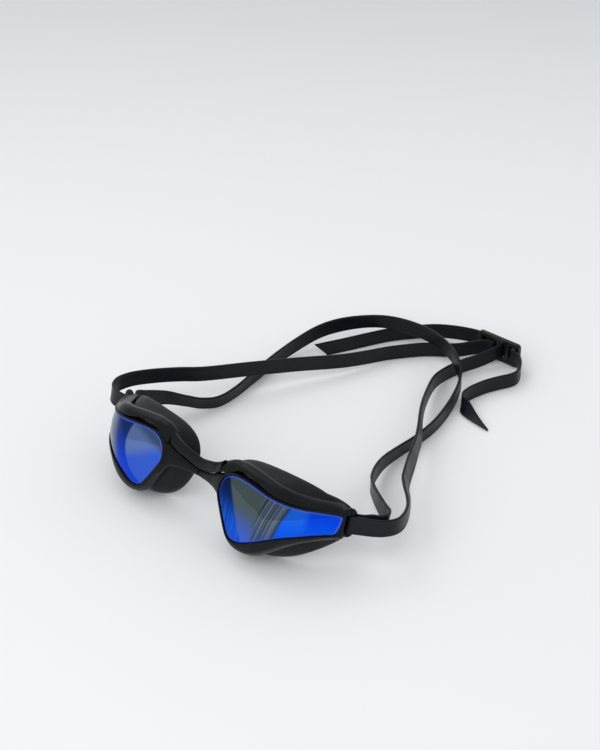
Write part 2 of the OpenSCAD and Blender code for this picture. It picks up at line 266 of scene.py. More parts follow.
def wrap(s, d):
    """Point (u, v) at s along the wrapped lens face and d behind it."""
    if s < FRONT_FLAT:
        return s, d
    turn = min((s - FRONT_FLAT) / BEND_R, BEND_ANGLE)
    extra = max(s - FRONT_FLAT - BEND_LEN, 0)
    return (FRONT_FLAT + (BEND_R - d) * math.sin(turn) + extra * math.cos(BEND_ANGLE),
            BEND_R - (BEND_R - d) * math.cos(turn) + extra * math.sin(BEND_ANGLE))


def depth_at(u, d):
    """Depth v of the surface d behind the lens face, at width u."""
    r = BEND_R - d
    reach = FRONT_FLAT + r * math.sin(BEND_ANGLE)
    if u < FRONT_FLAT:
        return d
    if u < reach:
        return BEND_R - math.sqrt(r * r - (u - FRONT_FLAT) ** 2)
    return BEND_R - r * math.cos(BEND_ANGLE) + (u - reach) * math.tan(BEND_ANGLE)


def seal_depth(u):
    """Depth of the soft rim that meets the face."""
    return SEAL_V + (SEAL_CURL * (u - 30) ** 2 if u > 30 else 0)


def wrap_point(angle, side):
    """Strap centreline round a loop bar: place in metres and the band's width direction."""
    u, v = wrap(BAR_S, BAR_D)
    a = math.radians(angle)
    place = placed(side * (u + WRAP_R * math.cos(a)), v + WRAP_R * math.sin(a), STRAP_MID)
    return place, Vector((0, math.tan(LEAN), 1))


# ---- Strap ----

# Each point: place in metres, then how far the band's width leans in x and y
RIGHT_UPPER = [
    (-0.069, 0.011, 0.0198, 0, 0.34), (-0.074, 0.012, 0.0195, 0, 0.3), (-0.0785, 0.015, 0.019, 0, 0.2),
    (-0.0815, 0.0205, 0.0185, 0, 0.1), (-0.0813, 0.0265, 0.0182, 0, 0), (-0.0795, 0.032, 0.0178, 0, 0),
    (-0.076, 0.0395, 0.017, 0, 0), (-0.0705, 0.048, 0.0162, 0, 0), (-0.064, 0.0575, 0.015, 0, 0),
    (-0.055, 0.0775, 0.0125, 0, 0), (-0.045, 0.0995, 0.0095, 0, 0), (-0.036, 0.1175, 0.007, 0, 0),
    (-0.031, 0.1305, 0.0055, 0, 0), (-0.026, 0.1445, 0.0042, 0, 0), (-0.017, 0.1575, 0.004, 0, 0),
    (-0.006, 0.1665, 0.0042, 0, 0), (0, 0.1725, 0.0052, 0, 0), (0.004, 0.176, 0.0062, 0, 0),
    (0.0065, 0.1773, 0.0064, 0, 0), (0.0085, 0.1778, 0.0064, 0, 0), (0.009, 0.1795, 0.0064, 0, 0)]
LOWER = [
    (-0.0658, 0.0175, 0.0193, 0, 0.34), (-0.066, 0.022, 0.0173, 0, 0.2), (-0.066, 0.029, 0.0143, 0.1, 0),
    (-0.065, 0.036, 0.0113, 0.2, -0.2), (-0.0615, 0.0435, 0.0078, 0.3, -0.3),
    (-0.058, 0.05, 0.0052, 0.3, -0.3), (-0.0555, 0.058, 0.0038, 0.3, -0.3),
    (-0.056, 0.069, 0.0037, 0.3, -0.3), (-0.059, 0.083, 0.0037, 0.2, -0.2),
    (-0.0625, 0.101, 0.004, 0.1, -0.1), (-0.0635, 0.118, 0.0052, 0, 0), (-0.062, 0.1315, 0.007, 0, 0),
    (-0.057, 0.1415, 0.0087, 0, 0), (-0.0485, 0.1495, 0.0106, 0.1, -0.1),
    (-0.039, 0.155, 0.0118, 0.1, -0.1), (-0.028, 0.1578, 0.0122, 0, 0), (-0.016, 0.1583, 0.0124, 0, 0),
    (-0.006, 0.156, 0.0125, 0, 0), (0.003, 0.1523, 0.0124, 0, 0), (0.0095, 0.1485, 0.0114, 0, 0),
    (0.0145, 0.145, 0.0088, 0, 0), (0.018, 0.14, 0.0058, 0, 0), (0.0215, 0.132, 0.0042, 0, 0),
    (0.0255, 0.121, 0.0038, 0, 0), (0.029, 0.108, 0.0038, 0.1, -0.1), (0.0305, 0.094, 0.0038, 0.2, -0.2),
    (0.0308, 0.082, 0.004, 0.2, -0.2), (0.033, 0.0695, 0.0056, 0.1, -0.1), (0.0375, 0.0585, 0.0078, 0, 0),
    (0.0435, 0.049, 0.0102, 0, 0), (0.051, 0.0415, 0.013, 0, 0), (0.059, 0.035, 0.0155, 0, 0.1),
    (0.0665, 0.0295, 0.0175, 0, 0.2), (0.0715, 0.026, 0.0188, 0, 0.3), (0.0737, 0.0225, 0.0196, 0, 0.34),
    (0.073, 0.0193, 0.02, 0, 0.34), (0.0705, 0.0172, 0.0202, 0, 0.34), (0.0682, 0.015, 0.02, 0, 0.34)]
LEFT_UPPER = [
    (0.069, 0.013, 0.0202, 0, 0.34), (0.072, 0.015, 0.02, 0, 0.3), (0.0754, 0.0185, 0.0194, 0, 0.2),
    (0.0774, 0.0235, 0.0186, 0, 0.1), (0.0767, 0.029, 0.0178, 0, 0), (0.0735, 0.0355, 0.017, 0, 0),
    (0.0685, 0.042, 0.016, -0.1, -0.1), (0.0625, 0.0485, 0.015, -0.3, -0.2),
    (0.0573, 0.054, 0.0142, -0.3, -0.2), (0.053, 0.0605, 0.0134, -0.3, -0.2),
    (0.048, 0.069, 0.0128, -0.3, -0.2), (0.042, 0.0795, 0.0124, -0.2, -0.1),
    (0.036, 0.089, 0.012, -0.2, -0.1), (0.026, 0.1025, 0.0115, -0.1, 0), (0.017, 0.1165, 0.009, 0, 0),
    (0.008, 0.1335, 0.006, 0, 0), (0.005, 0.1455, 0.0043, 0, 0), (0.006, 0.1565, 0.0042, 0, 0),
    (0.009, 0.1655, 0.0046, 0, 0), (0.0115, 0.1715, 0.0058, 0, 0), (0.0128, 0.176, 0.0064, 0, 0),
    (0.0131, 0.1795, 0.0064, 0, 0)]
RIGHT_TAIL = [
    (0.009, 0.1795, 0.0064, 0, 0), (0.0085, 0.1812, 0.0064, 0, 0), (0.0065, 0.1817, 0.0064, 0, 0),
    (0.002, 0.1819, 0.0064, 0, 0), (-0.004, 0.1815, 0.0063, 0, 0), (-0.011, 0.18, 0.0058, 0, 0),
    (-0.018, 0.178, 0.005, 0, 0), (-0.024, 0.175, 0.0044, 0, 0), (-0.029, 0.1705, 0.004, 0, 0),
    (-0.034, 0.1645, 0.0038, 0, 0), (-0.039, 0.1565, 0.0038, 0, 0), (-0.043, 0.1475, 0.0038, 0, 0),
    (-0.048, 0.1355, 0.0038, 0, 0), (-0.052, 0.1265, 0.0038, 0, 0), (-0.0545, 0.1205, 0.0038, 0, 0)]
LEFT_TAIL = [
    (0.0131, 0.1795, 0.0064, 0, 0), (0.0137, 0.1812, 0.0064, 0, 0), (0.0159, 0.1818, 0.0064, 0, 0),
    (0.0181, 0.1812, 0.0064, 0, 0), (0.0187, 0.1795, 0.0064, 0, 0), (0.0193, 0.1778, 0.0064, 0, 0),
    (0.022, 0.1772, 0.0064, 0, 0), (0.025, 0.176, 0.0062, 0, 0), (0.0283, 0.1728, 0.0056, 0, 0),
    (0.0308, 0.1686, 0.005, 0, 0), (0.0315, 0.165, 0.0046, 0, 0), (0.0302, 0.1615, 0.0042, 0, 0),
    (0.028, 0.1575, 0.004, 0, 0), (0.0255, 0.151, 0.004, 0, 0), (0.024, 0.144, 0.004, 0, 0),
    (0.0237, 0.1385, 0.004, 0, 0), (0.0248, 0.134, 0.004, 0, 0), (0.028, 0.131, 0.0037, 0, 0.4),
    (0.033, 0.13, 0.003, 0, 1.1), (0.039, 0.1295, 0.0023, 0, 2.2), (0.046, 0.129, 0.0017, 0, 3.5)]

STRAP_STEPS = 8


def strap_section():
    """Half of the band's section is a rounded edge with a faint bead; across and through, in metres."""
    w, t = STRAP_W * MM / 2, STRAP_T * MM / 2
    edge = [(1, 0), (0.99, 0.38), (0.965, 0.7), (0.925, 0.92), (0.87, 1), (0.8, 0.97), (0.74, 0.86),
            (0.5, 0.84), (0.2, 0.84)]
    top = edge + [(-a, b) for a, b in reversed(edge)]
    bottom = [(-a, -b) for a, b in top[1:-1]]
    return [(a * w, b * t) for a, b in top + bottom]


def route_line(route, before=(), after=()):
    """Smooth centreline and width directions of a route, with loop points before and after it."""
    places = [p for p, _ in before] + [Vector(p[:3]) for p in route] + [p for p, _ in after]
    wides = [w for _, w in before] + [Vector((p[3], p[4], 1)) for p in route] + [w for _, w in after]
    return spline(places, STRAP_STEPS), spline(wides, STRAP_STEPS)


def strap_piece(name, line, wides, node, far_end="object", exit_at=None, tip=None):
    """One run of the flat strap, which stands for a CAD strap node that it hides."""
    rings = sweep(line, wides, strap_section())
    if tip:
        rings = tip(line, wides, rings)
    points, faces = skin(rings)
    piece = make_piece(name, points, faces, strap_black, sharp=60)
    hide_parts(node)
    return piece


def length_to_go(line):
    """Distance from each point to the line's end."""
    left = [0.0]
    for a, b in zip(reversed(line[:-1]), reversed(line[1:])):
        left.append(left[-1] + (b - a).length)
    return left[::-1]


SLANT = 0.007
POINT_LENGTH = 0.018
# Share of the band's width left at the point
POINT_TIP = 0.06


def slant_end(line, wides, rings):
    """The band's end cut slantwise, its upper edge the longer."""
    half = STRAP_W * MM / 2
    for i, left in enumerate(length_to_go(line)):
        if left > 2 * SLANT:
            continue
        ahead = (line[min(i + 1, len(line) - 1)] - line[i - 1]).normalized()
        wide = (wides[i] - ahead * wides[i].dot(ahead)).normalized()
        pull = SLANT * (1 - left / (2 * SLANT))
        rings[i] = [q - ahead * pull * (0.5 - (q - line[i]).dot(wide) / (2 * half)) for q in rings[i]]
    return rings


def point_end(line, wides, rings):
    """The band's end cut to a point on its lower edge."""
    half = STRAP_W * MM / 2
    for i, left in enumerate(length_to_go(line)):
        if left > POINT_LENGTH:
            continue
        ahead = (line[min(i + 1, len(line) - 1)] - line[i - 1]).normalized()
        wide = (wides[i] - ahead * wides[i].dot(ahead)).normalized()
        keep = POINT_TIP + (1 - POINT_TIP) * left / POINT_LENGTH
        rings[i] = [q - wide * ((q - line[i]).dot(wide) + half) * (1 - keep) for q in rings[i]]
    return rings


def split_at(line, wides, index):
    """Two runs that share the ring at index."""
    return (line[:index + 1], wides[:index + 1]), (line[index:], wides[index:])


def index_near(line, y):
    """Index of the ring where the line first passes y."""
    return next(i for i, p in enumerate(line) if p.y > y)


# Where the upper runs are split
FREE_Y = 0.0825
# The lower run is split past this point
LOWER_SPLIT_X = -0.016
LOWER_SPLIT_Y = 0.15


def add_strap():
    upper = route_line(RIGHT_UPPER, before=[wrap_point(a, -1) for a in (230, 250, 270)])
    front, back = split_at(*upper, index_near(upper[0], FREE_Y))
    piece = strap_piece("right_upper_strap_front", *front, "strap_right_upper")
    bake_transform(piece)
    piece = strap_piece("right_upper_strap_back", *back, "strap_right_upper")
    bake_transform(piece)

    lower = route_line(LOWER, before=[wrap_point(a, -1) for a in (230, 185, 140)],
                       after=[wrap_point(a, 1) for a in (75, 105, 140, 185, 230)])
    middle = next(i for i, p in enumerate(lower[0]) if p.y > LOWER_SPLIT_Y and p.x > LOWER_SPLIT_X)
    front, back = split_at(*lower, middle)
    piece = strap_piece("lower_strap_right_half", *front, "strap_lower")
    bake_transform(piece)
    piece = strap_piece("lower_strap_left_half", *back, "strap_lower")
    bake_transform(piece)

    upper = route_line(LEFT_UPPER, before=[wrap_point(a, 1) for a in (230, 262, 295)])
    front, back = split_at(*upper, index_near(upper[0], FREE_Y))
    piece = strap_piece("left_upper_strap_front", *front, "strap_left_upper")
    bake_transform(piece)
    piece = strap_piece("left_upper_strap_back", *back, "strap_left_upper")
    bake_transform(piece)

    piece = strap_piece("right_tail_strap", *route_line(RIGHT_TAIL), "strap_right_tail", far_end="bare",
                        tip=slant_end)
    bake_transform(piece)
    piece = strap_piece("left_tail_strap", *route_line(LEFT_TAIL), "strap_left_tail", far_end="bare",
                        tip=point_end)
    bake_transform(piece)


add_strap()

# ---- Lens mirror, with painted reflections ----

# How much brighter a tint must be than the screen colour that it shows as
ROOM_GAIN = 1.35


def tone(red, green, blue):
    """A mirror tint that shows as this screen colour in the pale room."""
    linear = [((c / 255 + 0.055) / 1.055) ** 2.4 if c > 10 else c / 255 / 12.92 for c in (red, green, blue)]
    return tuple(min(1, c * ROOM_GAIN) for c in linear) + (1,)


class PaintedReflectionMirror:
    """A mirror material whose tints are painted reflections over the mirror's own blue, laid out over the
    wearer's frame, in millimetres, for one side.
    """

    def __init__(self, name, side):
        self.material, self.tree, self.shader, self.add = new_material(name)
        self.side = side
        self.place = self.add("ShaderNodeTexCoord").outputs["Object"]

    def step(self, value, start, end):
        """0 before start and 1 after end, smoothly."""
        node = self.add("ShaderNodeMapRange", interpolation_type="SMOOTHSTEP")
        node.inputs["From Min"].default_value = start
        node.inputs["From Max"].default_value = end
        self.tree.links.new(value, node.inputs["Value"])
        return node.outputs["Result"]

    def across(self, u, w, start, end):
        """Step along the direction (u, w), measured in the wearer's frame."""
        way = Vector((self.side * u, w * math.sin(LEAN), w * math.cos(LEAN)))
        origin = Vector((0, SET_BACK, RISE))
        node = self.add("ShaderNodeVectorMath", operation="DOT_PRODUCT")
        node.inputs[1].default_value = way
        self.tree.links.new(self.place, node.inputs[0])
        return self.step(node.outputs["Value"], (start + way.dot(origin)) * MM, (end + way.dot(origin)) * MM)

    def around(self, u, w, start, end):
        """Step outward from a point on the face."""
        node = self.add("ShaderNodeVectorMath", operation="DISTANCE")
        node.inputs[1].default_value = placed(self.side * u, 0, w)
        self.tree.links.new(self.place, node.inputs[0])
        return self.step(node.outputs["Value"], start * MM, end * MM)

    def streaks(self, fine, lean, sharp=0.1):
        """Upright streaks as a share: how many to the metre, their lean, and how soft their sides are."""
        way = Vector((self.side, lean * math.sin(LEAN), lean * math.cos(LEAN)))
        node = self.add("ShaderNodeVectorMath", operation="DOT_PRODUCT")
        node.inputs[1].default_value = way
        self.tree.links.new(self.place, node.inputs[0])
        noise = self.add("ShaderNodeTexNoise", noise_dimensions="1D", Scale=fine, Detail=1.0)
        self.tree.links.new(node.outputs["Value"], noise.inputs["W"])
        return self.step(noise.outputs["Fac"], 0.5 - sharp, 0.5 + sharp)

    def blend(self, share, first, second):
        """Colour that goes from first to second by share."""
        node = self.add("ShaderNodeMix", data_type="RGBA")
        self.tree.links.new(share, node.inputs[0])
        for socket, colour in ((node.inputs[6], first), (node.inputs[7], second)):
            if isinstance(colour, tuple):
                socket.default_value = colour
            else:
                self.tree.links.new(colour, socket)
        return node.outputs[2]

    def times(self, first, second):
        node = self.add("ShaderNodeMath", operation="MULTIPLY")
        self.tree.links.new(first, node.inputs[0])
        self.tree.links.new(second, node.inputs[1])
        return node.outputs[0]

    def finish(self, colour):
        self.tree.links.new(colour, self.shader.inputs["Base Color"])
        self.tree.links.new(noise_value(self.tree, self.add, self.place, 40, 0.05, 0.09),
                            self.shader.inputs["Roughness"])
        self.shader.inputs["Metallic"].default_value = 0.95
        self.shader.inputs["Transmission Weight"].default_value = 1.0
        self.shader.inputs["IOR"].default_value = 1.5
        return self.material


def left_painted_reflections():
    """Painted reflections over the blue mirror: navy by the nose, a grey to violet middle, dark streaks and
    an azure side, fixed on the lens.
    """
    painted = PaintedReflectionMirror("left_lens_mirror_painted_reflections", 1)
    nose = painted.blend(painted.across(0, 1, -15, 5), tone(3, 68, 177), tone(1, 21, 59))
    nose = painted.blend(painted.times(painted.streaks(700, 0), painted.across(0, -1, 0, 12)), nose, tone(24, 84, 196))
    middle = painted.blend(painted.across(0.15, 1, -11, 5), tone(58, 92, 196), tone(68, 80, 80))
    colour = painted.blend(painted.across(1, 0.52, 24.2, 25.8), nose, middle)
    dark = painted.blend(painted.streaks(520, -0.28), tone(42, 52, 44), tone(84, 98, 120))
    low = painted.blend(painted.streaks(520, -0.28), tone(34, 46, 66), tone(70, 90, 140))
    dark = painted.blend(painted.across(0, -1, 4, 11), dark, low)
    colour = painted.blend(painted.across(1, -0.15, 38.5, 40.5), colour, dark)
    side = painted.blend(painted.across(1, 0, 54.5, 57), tone(26, 92, 210), tone(2, 62, 204))
    side = painted.blend(painted.across(0, 1, -6, 4), tone(6, 82, 216), side)
    return painted.finish(painted.blend(painted.across(1, -0.28, 48.2, 49.6), colour, side))


def right_painted_reflections():
    """Painted reflections over the blue mirror: pale grey-blue inside a soft arc, a deep blue band outside
    it and a grey side, fixed on the lens.
    """
    painted = PaintedReflectionMirror("right_lens_mirror_painted_reflections", -1)
    inner = painted.blend(painted.across(0.5, 1, 8.5, 15.5), tone(48, 84, 186), tone(86, 108, 158))
    inner = painted.blend(painted.across(-0.35, 1, -6.2, -1.8), inner, tone(58, 77, 113))
    band = painted.blend(painted.across(0, 1, -12, 6), tone(10, 56, 186), tone(20, 44, 100))
    colour = painted.blend(painted.around(21.5, 0.2, 14.9, 16.0), inner, band)
    return painted.finish(painted.blend(painted.across(1, -0.25, 42, 46.5), colour, tone(84, 97, 118)))


def bevel_blue():
    """The bare coated edge of the lens, which glows a lighter blue."""
    material, tree, shader, add = new_material("lens_bevel")
    place = add("ShaderNodeTexCoord").outputs["Object"]
    tree.links.new(noise_colour(tree, add, place, 120, (0.02, 0.065, 0.55, 1), (0.035, 0.10, 0.75, 1)),
                   shader.inputs["Base Color"])
    tree.links.new(noise_value(tree, add, place, 90, 0.16, 0.26), shader.inputs["Roughness"])
    shader.inputs["Specular IOR Level"].default_value = 0.8
    return material


def tinted_back():
    """The uncoated back of the lens: clear blue-grey plastic."""
    material, tree, shader, add = new_material("lens_tint")
    place = add("ShaderNodeTexCoord").outputs["Object"]
    tree.links.new(noise_colour(tree, add, place, 60, (0.10, 0.17, 0.30, 1), (0.13, 0.21, 0.36, 1)),
                   shader.inputs["Base Color"])
    tree.links.new(noise_value(tree, add, place, 50, 0.04, 0.07), shader.inputs["Roughness"])
    shader.inputs["Transmission Weight"].default_value = 0.85
    shader.inputs["IOR"].default_value = 1.5
    return material


lens_bevel = bevel_blue()
lens_tint = tinted_back()

# ---- Eyecups, drawn for the wearer's left and mirrored for the right ----

LENS_EDGE = [(16.6, -1), (16.9, 3.7), (18.8, 6.9), (22.5, 8.8), (30, 9), (40, 7.6), (50, 6.6), (61.5, 6.2),
             (63.3, 6), (63.9, 5), (63.2, -1.4), (62.2, -2.5), (59.5, -3), (50, -6.5), (41, -11.7),
             (33, -16), (29, -16.8), (25.5, -16), (22.7, -12), (18, -4)]
FRAME_EDGE = [(15, -1.5), (14.8, 4.2), (16.8, 8.2), (21.5, 10), (30, 10.1), (40, 8.7), (50, 7.7), (61, 7.3),
              (64.5, 7.4), (70, 7), (70, -2.4), (64.5, -4), (61, -4.7), (51, -9.6), (43, -16.2),
              (36.5, -20), (30, -20.6), (25.4, -18.6), (21.2, -12.6), (16.5, -4.8)]
SEAL_EDGE = [(9, -1), (9.5, 4.6), (12.5, 9.2), (19, 12.2), (28, 13.5), (38, 14), (48, 12.9), (54, 10.6),
             (57.5, 8.4), (60, 5.5), (60.5, 0), (60, -4.5), (58.5, -8), (53, -14), (45.5, -19.2),
             (36.5, -21.8), (28.5, -22), (21, -20.2), (15, -15.5), (10.8, -8.5)]
# Least depth of the gasket behind the frame
SEAL_MIN = 5.5
POST_S = 74.5
FRAME_D = 6.5
LENS_T = 2
SIDES = ((1, "left"), (-1, "right"))


def cut_corners(points, steps=4):
    """A closed outline with its corners cut, several times over."""
    for _ in range(steps):
        points = [p.lerp(q, k) for p, q in zip(points, points[1:] + points[:1]) for k in (0.25, 0.75)]
    return points


def grow(points, d):
    """A clockwise outline moved outward by d."""
    made = []
    for i, p in enumerate(points):
        along = points[(i + 1) % len(points)] - points[i - 1]
        made.append(p + Vector((-along.y, along.x)) * (d / along.length))
    return made


def mix(a, b, share):
    """An outline part of the way from one to another, point for point."""
    return [p.lerp(q, share) for p, q in zip(a, b)]


def drawn_in(points, share):
    """An outline drawn towards its middle."""
    us, ws = [p.x for p in points], [p.y for p in points]
    middle = Vector(((max(us) + min(us)) / 2, (max(ws) + min(ws)) / 2))
    return [p.lerp(middle, share) for p in points]


LENS = cut_corners([Vector(p) for p in LENS_EDGE])
FRAME = cut_corners([Vector(p) for p in FRAME_EDGE])
SEAL = cut_corners([Vector(p) for p in SEAL_EDGE])


def face_point(side, u, w, depth, reach=POST_S):
    """Point at a depth behind the wrapped face, no further round than reach."""
    u = min(u, wrap(reach, depth)[0])
    return placed(side * u, depth_at(u, depth), w)


def face_ring(side, outline, depth, reach=POST_S):
    """An outline laid at a depth behind the wrapped face."""
    return [face_point(side, u, w, depth, reach) for u, w in outline]


def loft(rings, steps, closed=False):
    """More rings, set smoothly between the given ones."""
    columns = [spline(list(column), steps, closed) for column in zip(*rings)]
    return [list(ring) for ring in zip(*columns)]


def rounded(corners, steps=2):
    """A closed section with its corners cut."""
    return [tuple(p) for p in cut_corners([Vector(c) for c in corners], steps)]


def tube(line, radii, wide, sides=20):
    """Rings of a round bar along a line, with a radius at each point; wide points across the line."""
    circle = [(math.cos(2 * math.pi * k / sides), math.sin(2 * math.pi * k / sides)) for k in range(sides)]
    rings = sweep(line, [wide] * len(line), circle)
    return [[c + (q - c) * r for q in ring] for c, ring, r in zip(line, rings, radii)]


# Edges sharper than these angles stay sharp, on hard and on soft pieces
HARD_EDGE = 38
SOFT_EDGE = 60


def add_part(name, rings, material, body, node, closed=False, sharp=HARD_EDGE):
    """A skinned piece that rides on a body and stands for a CAD node."""
    points, faces = skin(rings, closed=closed)
    piece = make_piece(name, points, faces, material, sharp)
    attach(piece, body)
    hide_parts(node)
    return piece


# Rim section from the lens edge outward and round the back: share of the way to the frame outline, growth,
# depth, reach, and how much further it flares below the lens
RIM_FACE = [(0, 0.08, 0.9, 73, 0), (0, 0.1, 0.15, 73, 0), (0, 0.2, -0.22, 73.1, 0),
            (0.06, 0.26, -0.36, 73.2, 0), (0.22, 0.25, -0.26, 73.5, 0), (0.5, 0.1, 0.15, 74, 0),
            (0.78, 0, 0.8, 74.4, 0), (0.93, 0, 1.7, 74.5, 0), (0.98, 0, 2.8, 74.5, 0.3),
            (1, 0, 4.2, 74.5, 0.7), (0.98, 0, 5.5, 74.5, 0.8), (0.88, 0, 6.3, 74.2, 0.6)]
RIM_BACK = [(0, -0.4, 6.45, 72, 0), (0, -1.2, 6.3, 71, 0), (0, -1.4, 5.9, 70.8, 0), (0, -1.4, 2.4, 70.8, 0),
            (0, -1.3, 2.1, 70.8, 0), (0, 0, 2.06, 73, 0)]
# Height where the flare starts, and how much further down it is full
FLARE_TOP = -6
FLARE_SPAN = 10


def flared(outline, amount):
    """An outline whose lower part is moved down by up to amount."""
    return [Vector((p.x, p.y - amount * min(max((FLARE_TOP - p.y) / FLARE_SPAN, 0), 1))) for p in outline]


def add_rim(side, word):
    def ring(share, growth, depth, reach, flare):
        return face_ring(side, flared(grow(mix(LENS, FRAME, share), growth), flare), depth, reach)

    rings = loft([ring(*step) for step in RIM_FACE], 3) + [ring(*step) for step in RIM_BACK]
    add_part(word + "_rim", rings, frame_black, word + "_cup", word + "_frame", closed=True)


# Top rail stations: across, lower edge, upper edge
RAIL_STATIONS = [(15.1, 6.9, 11.5), (16.8, 7.4, 12.5), (18.8, 8.2, 13.4), (20.4, 9.0, 13.8), (22, 9.7, 14.0),
                 (23.6, 10.8, 14.15), (26, 11.3, 14.2), (30, 11.3, 13.95), (34, 10.7, 13.5), (37, 9.7, 13.1),
                 (41, 8.6, 12.5), (45, 7.95, 11.9), (49, 7.5, 11.1), (54, 7.15, 10.1), (59, 6.9, 9.1),
                 (64, 6.7, 8.3)]
# Share of the rail's height, and depth
RAIL_SECTION = [(0, 0.9), (0.06, 0.45), (0.3, 0.6), (0.7, 1.6), (0.95, 3.0), (1, 4.2), (0.97, 5.6),
                (0.8, 6.4), (0, 6.4)]


def add_rail(side, word):
    section = rounded(RAIL_SECTION)
    rings = [[face_point(side, u, low + (top - low) * share, depth) for share, depth in section]
             for u, low, top in RAIL_STATIONS]
    add_part(word + "_top_rail", loft(rings, 5), frame_black, word + "_cup", word + "_frame")


# Nose arm stations: upper edge (across, up), lower edge (across, up), front and back depth
ARM_STATIONS = [(0.35, 0.8, 0.35, -2.0, 5.2, 8.2), (3, 1.2, 3, -2.0, 4.8, 7.8),
                (6, 2.05, 6, -1.95, 4.0, 7.3), (9, 3.3, 9.2, -2.0, 2.9, 6.8),
                (12, 4.75, 12.4, -2.6, 1.8, 6.5), (14.2, 5.9, 15, -4.0, 1.1, 6.3),
                (15.5, 6.6, 16.8, -6.2, 0.8, 6.2), (16.4, 7.3, 18.0, -8.2, 0.8, 6.0)]
# Share of the way up, and of the way back
ARM_SECTION = [(0, 0.2), (0.25, 0), (0.8, 0), (1, 0.15), (1, 0.9), (0.85, 1), (0.1, 1), (0, 0.85)]


def station_ring(side, station, section):
    """A section laid between the edges and the depths of a station."""
    top_u, top_w, low_u, low_w, front, back = station
    return [placed(side * (low_u + (top_u - low_u) * up), front + (back - front) * deep,
                   low_w + (top_w - low_w) * up) for up, deep in section]


def add_arm(side, word):
    section = rounded(ARM_SECTION)
    rings = [station_ring(side, station, section) for station in ARM_STATIONS]
    add_part(word + "_nose_arm", loft(rings, 5), frame_black, word + "_cup", word + "_frame")


PEG_U = 11
PEG_V = 4.4
PEG_SIDES = 24
# Radius and height of each ring of the peg
PEG_RINGS = [(1.2, 0.5), (1.2, 4.2), (1.2, 6.4), (1.05, 6.8), (0.8, 7.1), (0.4, 7.2)]


def add_peg(side, word):
    rings = [[placed(side * PEG_U + r * math.cos(a), PEG_V + r * math.sin(a), w)
              for a in (2 * math.pi * k / PEG_SIDES for k in range(PEG_SIDES))] for r, w in PEG_RINGS]
    add_part(word + "_peg", rings, frame_black, word + "_cup", word + "_frame")


# Strap loop: distance along the face, height, radius and depth of its round bar
LOOP_LINE = [(71.4, 6.2, 1.2, 2.4), (73.0, 6.9, 1.4, 1.9), (74.6, 7.5, 1.55, 1.6), (76.0, 7.6, 1.6, 1.6),
             (77.0, 7.0, 1.4, 2.0), (77.6, 6.0, 1.1, 2.6), (77.6, 4.5, 1.1, 2.6), (77.6, 2.6, 1.1, 2.6),
             (77.6, 0.7, 1.1, 2.6), (77.6, -0.7, 1.1, 2.6), (77.4, -1.7, 1.15, 2.6), (76.4, -2.2, 1.2, 2.6),
             (74.6, -2.1, 1.2, 2.6), (71.8, -1.9, 1.2, 2.6)]
# Backward slope of the direction across the loop
LOOP_SLOPE = 1.4


def add_loop(side, word):
    line = []
    radii = []
    for s, w, r, d in LOOP_LINE:
        u, v = wrap(s, d)
        line.append(placed(side * u, v, w))
        radii.append(Vector((r * MM, 0, 0)))
    across = placed(side, LOOP_SLOPE, 0) - placed(0, 0, 0)
    rings = tube(spline(line, 4), [r.x for r in spline(radii, 4)], across.normalized())
    add_part(word + "_strap_loop", rings, frame_black, word + "_cup", word + "_frame")


# How far the middle of the lens stands out, and where that is
LENS_CROWN = 0.9
LENS_MIDDLE = Vector((38, -3))
# Growth of the lens outline at the edge of the mirror face and of the back
FACE_GROW = -0.58
BACK_GROW = -0.2
# Bevel and side wall of the lens: growth and depth
LENS_BEVEL = [(-0.5, 0.04), (-0.12, 0.32)]
LENS_WALL = [(-0.05, 0.5), (-0.05, LENS_T - 0.15), (BACK_GROW, LENS_T)]
FRONT_RINGS = 24
BACK_RINGS = 12


def add_lens(side, word, reflections_painted_mirror):
    """A crowned mirror face with painted reflections, a bright bevel and a clear back."""
    rings = []
    for k in range(1, FRONT_RINGS + 1):
        share = k / FRONT_RINGS
        outline = [LENS_MIDDLE.lerp(p, share) for p in grow(LENS, FACE_GROW)]
        rings.append(face_ring(side, outline, -LENS_CROWN * (1 - share ** 2)))
    rings += [face_ring(side, grow(LENS, growth), depth) for growth, depth in LENS_BEVEL + LENS_WALL]
    for k in range(BACK_RINGS - 1, 0, -1):
        outline = [LENS_MIDDLE.lerp(p, k / BACK_RINGS) for p in grow(LENS, BACK_GROW)]
        rings.append(face_ring(side, outline, LENS_T - LENS_CROWN * (1 - (k / BACK_RINGS) ** 2)))
    points, faces = skin(rings)
    count = len(LENS)
    mirror_end = count * (FRONT_RINGS - 1)
    bevel_end = mirror_end + count * len(LENS_BEVEL)
    marks = [0 if k < mirror_end else 1 if k < bevel_end else 2 for k in range(count * (len(rings) - 1))]
    piece = make_piece(word + "_lens_pane", points, faces, reflections_painted_mirror, HARD_EDGE,
                       others=(lens_bevel, lens_tint), marks=marks + [0, 2])
    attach(piece, word + "_cup")
    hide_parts(word + "_lens")


# Gasket section from the foot outward, round the lip and back inside: share from foot to seal outline,
# growth, drawn in, and share of the way back to the face
GASKET_STEPS = [(0, -1.8, 0, 0), (0, 0, 0, 0), (0.3, 0.1, 0, 0.14), (0.6, 0.3, 0, 0.38),
                (0.86, 0.3, 0, 0.64), (0.99, 0.1, 0, 0.83), (1, 0, 0, 0.93), (1, 0, 0.03, 0.99),
                (1, 0, 0.09, 1.01), (1, 0, 0.16, 0.99), (1, 0, 0.19, 0.94), (0.75, -1.0, 0.1, 0.72),
                (0.4, -1.3, 0, 0.35), (0.1, -1.6, 0, 0.1)]
# Growth of the gasket's foot from the lens outline, and how far it stops short of the frame's outer end
FOOT_GROW = 1.4
FOOT_GAP = 0.5


